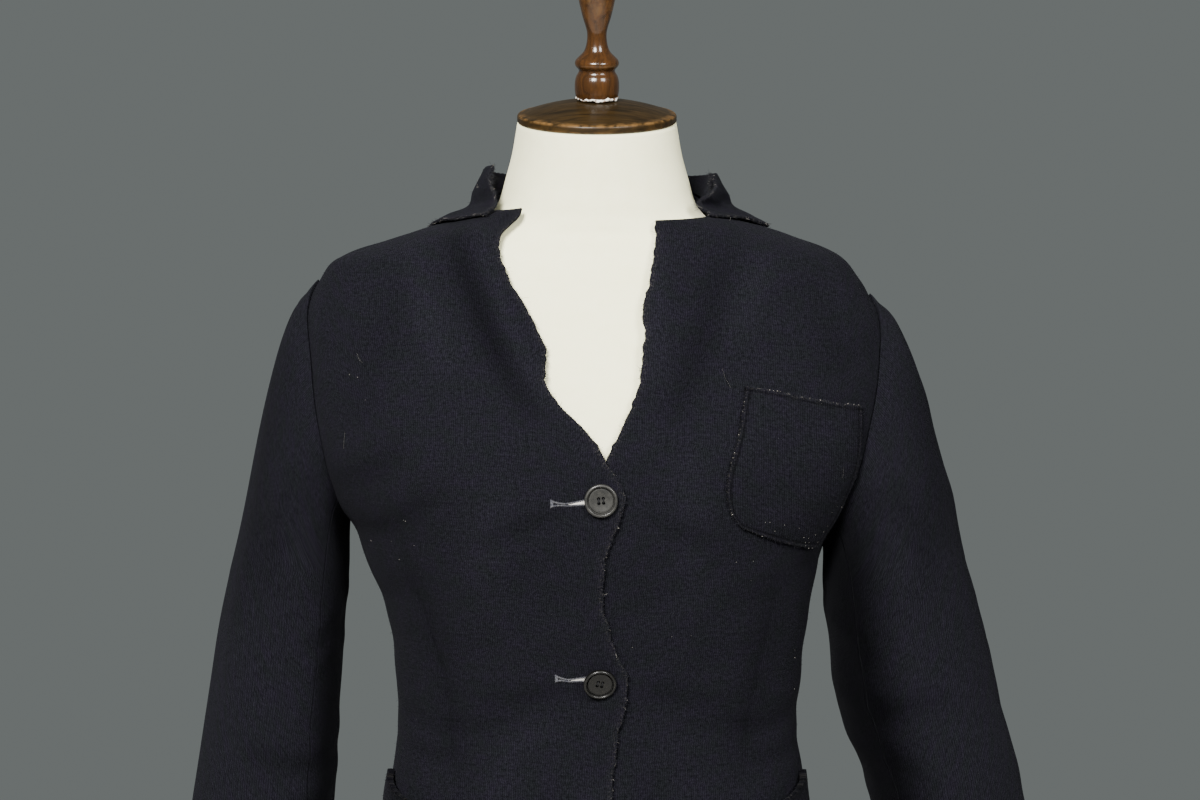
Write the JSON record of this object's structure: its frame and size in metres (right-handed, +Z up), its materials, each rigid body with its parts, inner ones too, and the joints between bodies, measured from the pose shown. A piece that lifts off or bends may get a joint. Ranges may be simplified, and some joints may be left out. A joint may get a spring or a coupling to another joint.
{
  "type": "knit blazer on a dress form",
  "caption": "Boiled-knit single-breasted blazer with raw wavy edges and patch pockets, worn by a limbless jersey dress form with a turned wooden neck cap on a round stand.",
  "frame": {"origin": "centre of the underside of the stand's round base, on the surface it stands on", "axes": "+Z up, +X towards the wearer's left (the viewer's right), -Y towards the front of the blazer"},
  "size_m": [0.649, 0.33, 0.9971],
  "materials": {
    "boiled_knit": "matt boiled wool knit, very dark navy, fine vertical wales and a short nap",
    "button_plastic": "semi-gloss charcoal resin",
    "cotton_jersey": "smooth cream cotton jersey stretched over the form",
    "turned_wood": "dark walnut stain under gloss varnish, worn at the rim",
    "pole_steel": "plain brushed steel tube"
  },
  "bodies": {
    "root": {"front_right": "boiled_knit", "front_left": "boiled_knit", "back_right": "boiled_knit", "back_left": "boiled_knit", "sleeve_upper_right": "boiled_knit", "sleeve_upper_left": "boiled_knit", "sleeve_under_right": "boiled_knit", "sleeve_under_left": "boiled_knit", "collar": "boiled_knit", "chest_pocket": "boiled_knit", "hip_pocket_right": "boiled_knit", "hip_pocket_left": "boiled_knit", "button_1": "button_plastic", "button_2": "button_plastic", "form": "cotton_jersey", "neck_cap": "turned_wood", "finial": "turned_wood", "form_plate": "turned_wood", "stand_base": "turned_wood", "stand_pole": "pole_steel"}
  },
  "joints": []
}
